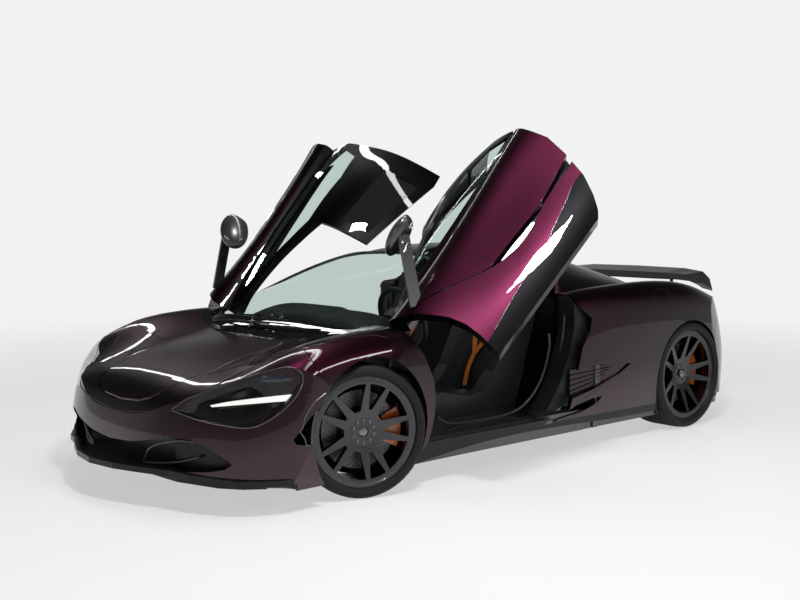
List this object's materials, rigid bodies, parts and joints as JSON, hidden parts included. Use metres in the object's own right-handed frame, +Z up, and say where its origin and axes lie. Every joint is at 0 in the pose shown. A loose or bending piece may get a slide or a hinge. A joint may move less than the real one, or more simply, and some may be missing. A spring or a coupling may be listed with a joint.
{
  "type": "mid-engined coupe",
  "caption": "Low two-seat mid-engined coupe with doors that swing up and forward, a rising rear wing, a front lid and steered front wheels.",
  "frame": {"origin": "on the ground under the middle of the car's length and width", "axes": "+X to the car's left, +Y to the rear, +Z up; the nose points along -Y"},
  "size_m": [2.8888, 4.5403, 1.8485],
  "materials": {
    "body_paint": "dark metallic gloss",
    "dark_carbon": "gloss",
    "structure": "matte",
    "glass": "tinted",
    "lamp_dark": "gloss",
    "tail_red": "gloss",
    "tyre": "matte",
    "rim_grey": "satin graphite",
    "disc": "satin",
    "caliper_orange": "gloss",
    "steel": "satin",
    "leather": "satin",
    "dash": "matte",
    "rubber": "matte",
    "exhaust": "satin"
  },
  "bodies": {
    "chassis": {"tub": "structure", "nose": "body_paint", "lower_trim": "dark_carbon", "front_wing_left": "body_paint", "front_wing_right": "body_paint", "canopy_frame": "dark_carbon", "fixed_glass": "glass", "engine_cover": "body_paint", "quarter_left": "body_paint", "quarter_right": "body_paint", "rear_bumper": "body_paint", "diffuser": "dark_carbon", "headlamps": "lamp_dark", "tail_lamps": "tail_red", "exhaust_tips": "exhaust", "engine_block": "steel", "seats": "leather", "dashboard": "dash", "steering_wheel": "dash", "suspension_arms": "steel", "rear_calipers": "caliper_orange"},
    "bonnet": {"bonnet": "body_paint"},
    "rear_wing": {"rear_wing": "dark_carbon"},
    "door_left": {"door_left": "body_paint", "door_glass_left": "glass", "mirror_left": "dark_carbon"},
    "knuckle_left": {"knuckle_left": "steel", "caliper_left": "caliper_orange"},
    "door_right": {"door_right": "body_paint", "door_glass_right": "glass", "mirror_right": "dark_carbon"},
    "knuckle_right": {"knuckle_right": "steel", "caliper_right": "caliper_orange"},
    "wheel_front_left": {"tyre_front_left": "tyre", "rim_front_left": "rim_grey", "disc_front_left": "disc"},
    "wheel_front_right": {"tyre_front_right": "tyre", "rim_front_right": "rim_grey", "disc_front_right": "disc"},
    "wheel_rear_left": {"tyre_rear_left": "tyre", "rim_rear_left": "rim_grey", "disc_rear_left": "disc"},
    "wheel_rear_right": {"tyre_rear_right": "tyre", "rim_rear_right": "rim_grey", "disc_rear_right": "disc"}
  },
  "joints": [
    {"name": "door_left_hinge", "type": "hinge", "parent": "chassis", "child": "door_left", "pos_m": [0.766, -0.965, 0.811], "axis": [0.5841, -0.7062, -0.4001], "range_deg": [-68.6, 0]},
    {"name": "door_right_hinge", "type": "hinge", "parent": "chassis", "child": "door_right", "pos_m": [-0.766, -0.965, 0.811], "axis": [0.5841, 0.7062, 0.4001], "range_deg": [-68.6, 0]},
    {"name": "steer_left", "type": "hinge", "parent": "chassis", "child": "knuckle_left", "pos_m": [0.792, -1.24, 0.3275], "axis": [0, 0, 1], "range_deg": [-10.1, 43.9]},
    {"name": "steer_right", "type": "hinge", "parent": "chassis", "child": "knuckle_right", "pos_m": [-0.792, -1.24, 0.3275], "axis": [0, 0, 1], "range_deg": [-10.1, 43.9]},
    {"name": "spin_front_left", "type": "hinge", "parent": "knuckle_left", "child": "wheel_front_left", "pos_m": [0.83506, -1.25308, 0.3275], "axis": [0.9568, -0.2907, 0], "continuous": true},
    {"name": "spin_front_right", "type": "hinge", "parent": "knuckle_right", "child": "wheel_front_right", "pos_m": [-0.83506, -1.22692, 0.3275], "axis": [0.9568, -0.2907, 0], "continuous": true},
    {"name": "spin_rear_left", "type": "hinge", "parent": "chassis", "child": "wheel_rear_left", "pos_m": [0.8145, 1.43, 0.345], "axis": [1, 0, 0], "continuous": true},
    {"name": "spin_rear_right", "type": "hinge", "parent": "chassis", "child": "wheel_rear_right", "pos_m": [-0.8145, 1.43, 0.345], "axis": [1, 0, 0], "continuous": true},
    {"name": "bonnet_hinge", "type": "hinge", "parent": "chassis", "child": "bonnet", "pos_m": [0, -1.29, 0.738], "axis": [1, 0, 0], "range_deg": [-50, 0]},
    {"name": "wing_rise", "type": "slide", "parent": "chassis", "child": "rear_wing", "axis": [0, 0, 1], "range_m": [0, 0.12]}
  ],
  "couplings": [
    {"joint": "steer_right", "follows": "steer_left", "ratio": 1}
  ]
}
